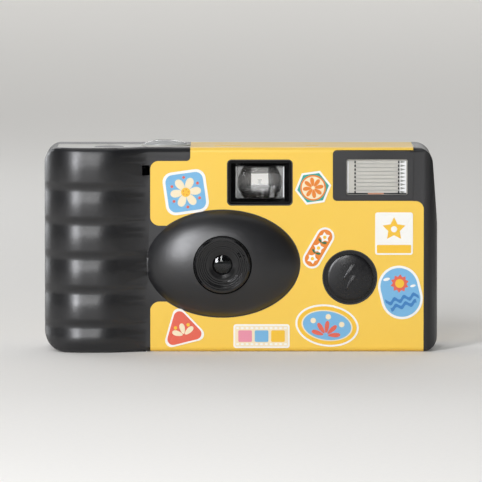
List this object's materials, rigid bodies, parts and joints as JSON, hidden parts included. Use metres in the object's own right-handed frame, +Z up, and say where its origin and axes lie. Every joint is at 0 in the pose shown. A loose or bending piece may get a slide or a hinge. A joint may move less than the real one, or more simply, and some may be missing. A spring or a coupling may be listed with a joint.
{
  "type": "single-use film camera with flash",
  "caption": "Box-shaped 35 mm film camera with a ribbed grip, oval lens mound, viewfinder, flash window, charge button, release button and winding wheel, in a coloured wrap label.",
  "frame": {"origin": "bottom centre of the whole camera's bounding box", "axes": "+X to the right as the lens is faced, +Y back from the lens, +Z up"},
  "size_m": [0.1146, 0.0344, 0.0615],
  "materials": {
    "front_cover": "fine spark-eroded satin",
    "rear_cover": "fine spark-eroded satin",
    "top_plate": "satin",
    "counter_window": "clear moulded plastic",
    "wrap_label": "printed and varnished film",
    "cassette_hatch": "satin",
    "lens_retainer": "polished black",
    "taking_lens": "clear moulded plastic",
    "lens_holder": "matt",
    "viewfinder_housing": "matt",
    "viewfinder_front_lens": "clear moulded plastic",
    "viewfinder_eyepiece": "clear moulded plastic",
    "main_frame": "matt",
    "shutter_plate": "matt",
    "shutter_blade": "blackened spring steel",
    "blade_spring": "bright wire",
    "striker_lever": "bright sheet",
    "striker_spring": "bright wire",
    "sync_contact": "bright strip",
    "sprocket": "natural acetal",
    "metering_lever": "natural acetal",
    "counter_dial": "white, satin",
    "advance_wheel": "satin",
    "shutter_button": "satin black",
    "release_spring": "bright wire",
    "film_cassette": "lacquered steel",
    "cassette_spool": "matt",
    "film_strip": "film emulsion and base",
    "film_roll": "film emulsion and base",
    "roll_spool": "matt",
    "flash_window": "clear moulded plastic",
    "flash_reflector": "bright rolled sheet",
    "flash_tube": "clear glass",
    "flash_board": "paper laminate",
    "capacitor": "sleeved can",
    "transformer": "taped winding",
    "trigger_coil": "dipped winding",
    "ready_lamp": "clear glass",
    "ready_light_guide": "clear moulded plastic",
    "battery": "sleeved cell",
    "battery_contact_plus": "bright strip",
    "battery_contact_minus": "bright strip",
    "charge_button": "satin black",
    "charge_contact": "bright strip"
  },
  "bodies": {
    "camera": {"front_cover": "front_cover", "rear_cover": "rear_cover", "top_plate": "top_plate", "counter_window": "counter_window", "wrap_label": "wrap_label", "lens_retainer": "lens_retainer", "taking_lens": "taking_lens", "lens_holder": "lens_holder", "viewfinder_housing": "viewfinder_housing", "viewfinder_front_lens": "viewfinder_front_lens", "viewfinder_eyepiece": "viewfinder_eyepiece", "main_frame": "main_frame", "shutter_plate": "shutter_plate", "blade_spring": "blade_spring", "striker_spring": "striker_spring", "sync_contact": "sync_contact", "release_spring": "release_spring", "film_cassette": "film_cassette", "film_strip": "film_strip", "flash_window": "flash_window", "flash_reflector": "flash_reflector", "flash_tube": "flash_tube", "flash_board": "flash_board", "capacitor": "capacitor", "transformer": "transformer", "trigger_coil": "trigger_coil", "ready_lamp": "ready_lamp", "ready_light_guide": "ready_light_guide", "battery": "battery", "battery_contact_plus": "battery_contact_plus", "battery_contact_minus": "battery_contact_minus", "charge_contact": "charge_contact"},
    "hatch": {"cassette_hatch": "cassette_hatch"},
    "blade": {"shutter_blade": "shutter_blade"},
    "striker": {"striker_lever": "striker_lever"},
    "sprocket_shaft": {"sprocket": "sprocket"},
    "meter": {"metering_lever": "metering_lever"},
    "dial": {"counter_dial": "counter_dial"},
    "winding_wheel": {"advance_wheel": "advance_wheel", "cassette_spool": "cassette_spool"},
    "release_button": {"shutter_button": "shutter_button"},
    "supply_roll": {"film_roll": "film_roll", "roll_spool": "roll_spool"},
    "flash_button": {"charge_button": "charge_button"}
  },
  "joints": [
    {"name": "release_slide", "type": "slide", "parent": "camera", "child": "release_button", "axis": [0, 0, -1], "range_m": [0, 0.001], "stiffness_N_per_m": 1500, "springref_m": -0.0005, "deforming": ["release_spring"]},
    {"name": "charge_slide", "type": "slide", "parent": "camera", "child": "flash_button", "axis": [0, 1, 0], "range_m": [0, 0.0007], "stiffness_N_per_m": 1200, "springref_m": -0.0005},
    {"name": "winding_spin", "type": "hinge", "parent": "camera", "child": "winding_wheel", "pos_m": [-0.0405, 0.0025, 0.0517], "axis": [0, 0, 1], "continuous": true},
    {"name": "sprocket_spin", "type": "hinge", "parent": "camera", "child": "sprocket_shaft", "pos_m": [-0.0205, 0.0073, 0.0399], "axis": [0, 0, 1], "continuous": true},
    {"name": "roll_spin", "type": "hinge", "parent": "camera", "child": "supply_roll", "pos_m": [0.0296, 0.0054, 0.0258], "axis": [0, 0, 1], "continuous": true},
    {"name": "counter_spin", "type": "hinge", "parent": "camera", "child": "dial", "pos_m": [-0.0144, -0.0001, 0.0556], "axis": [0, 0, 1], "continuous": true},
    {"name": "metering_swing", "type": "hinge", "parent": "camera", "child": "meter", "pos_m": [-0.0264, 0.0005, 0.0492], "axis": [0, 0, 1], "range_deg": [0, 8], "stiffness_Nm_per_rad": 0.001, "springref_deg": -5.73},
    {"name": "blade_swing", "type": "hinge", "parent": "camera", "child": "blade", "pos_m": [0.0022, -0.011, 0.0304], "axis": [0, -1, 0], "range_deg": [0, 35], "stiffness_Nm_per_rad": 0.0005, "springref_deg": -17.19},
    {"name": "striker_swing", "type": "hinge", "parent": "camera", "child": "striker", "pos_m": [0.0102, -0.011, 0.0284], "axis": [0, -1, 0], "range_deg": [0, 20]},
    {"name": "hatch_swing", "type": "hinge", "parent": "camera", "child": "hatch", "pos_m": [-0.0275, 0.00245, 0], "axis": [0, -1, 0], "range_deg": [0, 95]}
  ],
  "couplings": [
    {"joint": "sprocket_spin", "follows": "winding_spin", "ratio": 0.93834},
    {"joint": "roll_spin", "follows": "winding_spin", "ratio": 0.60212},
    {"joint": "counter_spin", "follows": "winding_spin", "ratio": -0.031278},
    {"joint": "striker_swing", "follows": "blade_swing", "ratio": 0.57143}
  ]
}
